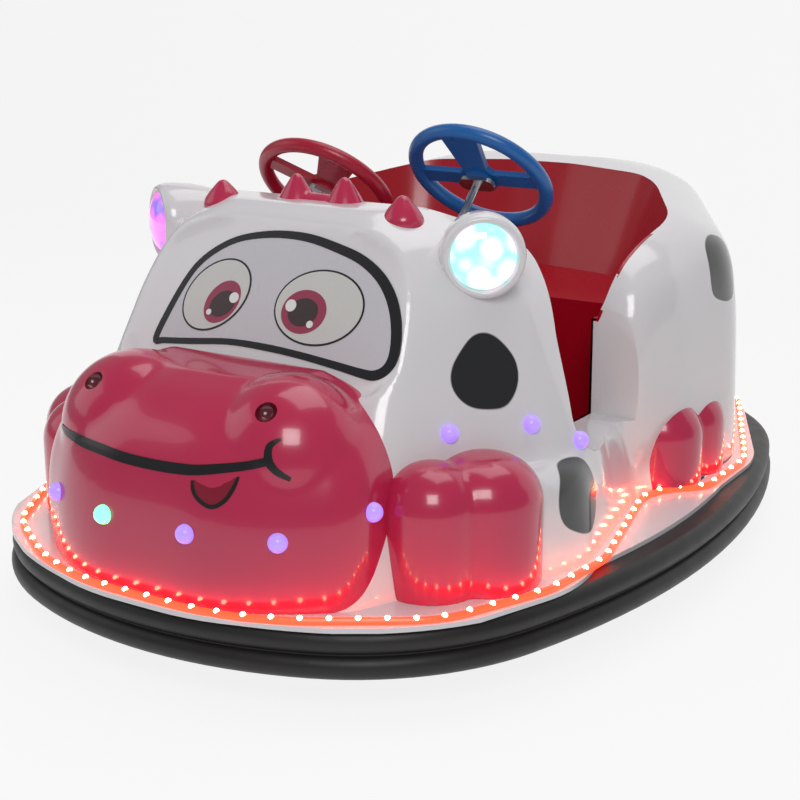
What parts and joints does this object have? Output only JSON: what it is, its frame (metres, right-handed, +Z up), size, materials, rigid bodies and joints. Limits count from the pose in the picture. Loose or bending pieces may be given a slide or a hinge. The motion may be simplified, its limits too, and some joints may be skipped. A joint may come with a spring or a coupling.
{
  "type": "battery bumper car",
  "caption": "Two-seat battery bumper car with a rubber ring, animal-head body, tub seat, two steering wheels, a turntable drive wheel and rear wheels.",
  "frame": {"origin": "on the floor, at the middle of the car's length and width", "axes": "+Z up, -Y the way the car faces, +X the driver's left"},
  "size_m": [1.1996, 1.6496, 0.7966],
  "materials": {
    "rubber_black": "satin black moulded rubber",
    "steel_grey": "grey powder coat",
    "bright_steel": "bright zinc-plated steel",
    "body_white": "glossy white gel coat with black painted spots",
    "body_pink": "glossy deep pink gel coat",
    "tub_red": "glossy red gel coat",
    "lens_clear": "clear domed lamp lens",
    "wheel_blue": "blue moulded plastic",
    "wheel_red": "red moulded plastic",
    "tyre_black": "black rubber tyre",
    "rim_white": "grey moulded wheel centre",
    "motor_black": "black painted motor",
    "battery_grey": "dark grey battery case",
    "strip_red": "red translucent light strip",
    "dome_lilac": "translucent lilac lamp dome"
  },
  "bodies": {
    "root": {"rubber_bumper": "rubber_black", "bumper_band": "steel_grey", "chassis_frame": "steel_grey", "front_bridge": "steel_grey", "body_deck": "body_white", "body_shell": "body_white", "cockpit_tub": "tub_red", "muzzle": "body_pink", "hoof_front_left": "body_pink", "hoof_front_right": "body_pink", "hoof_rear_left": "body_pink", "hoof_rear_right": "body_pink", "head_crest": "body_pink", "lamp_pod_left": "body_white", "lamp_pod_right": "body_white", "lamp_lens_left": "lens_clear", "lamp_lens_right": "lens_clear", "column_bush_left": "motor_black", "column_bush_right": "motor_black", "turntable_bearing": "bright_steel", "rear_axle": "bright_steel", "battery_tray": "steel_grey", "battery_pair": "battery_grey", "foot_pedal": "motor_black", "light_strip": "strip_red", "point_lamps": "dome_lilac"},
    "steering_left": {"steering_wheel_left": "wheel_blue", "steering_column_left": "bright_steel"},
    "steering_right": {"steering_wheel_right": "wheel_red", "steering_column_right": "bright_steel"},
    "drive_unit": {"drive_fork": "steel_grey", "drive_motor": "motor_black"},
    "drive_wheel": {"drive_tyre": "tyre_black", "drive_rim": "rim_white"},
    "rear_wheel_left": {"rear_tyre_left": "tyre_black", "rear_rim_left": "rim_white"},
    "rear_wheel_right": {"rear_tyre_right": "tyre_black", "rear_rim_right": "rim_white"}
  },
  "joints": [
    {"name": "steer_left", "type": "hinge", "parent": "root", "child": "steering_left", "pos_m": [0.15, -0.06, 0.698], "axis": [0, 0.7071, 0.7071], "continuous": true},
    {"name": "steer_right", "type": "hinge", "parent": "root", "child": "steering_right", "pos_m": [-0.15, -0.097, 0.661], "axis": [0, 0.7071, 0.7071], "continuous": true},
    {"name": "drive_turntable", "type": "hinge", "parent": "root", "child": "drive_unit", "pos_m": [0, -0.52, 0.2], "axis": [0, 0, 1], "continuous": true},
    {"name": "drive_spin", "type": "hinge", "parent": "drive_unit", "child": "drive_wheel", "pos_m": [0, -0.52, 0.11], "axis": [1, 0, 0], "continuous": true},
    {"name": "rear_spin_left", "type": "hinge", "parent": "root", "child": "rear_wheel_left", "pos_m": [0.36, 0.42, 0.1], "axis": [1, 0, 0], "continuous": true},
    {"name": "rear_spin_right", "type": "hinge", "parent": "root", "child": "rear_wheel_right", "pos_m": [-0.36, 0.42, 0.1], "axis": [1, 0, 0], "continuous": true}
  ],
  "couplings": [
    {"joint": "drive_turntable", "follows": "steer_left", "ratio": 1}
  ]
}
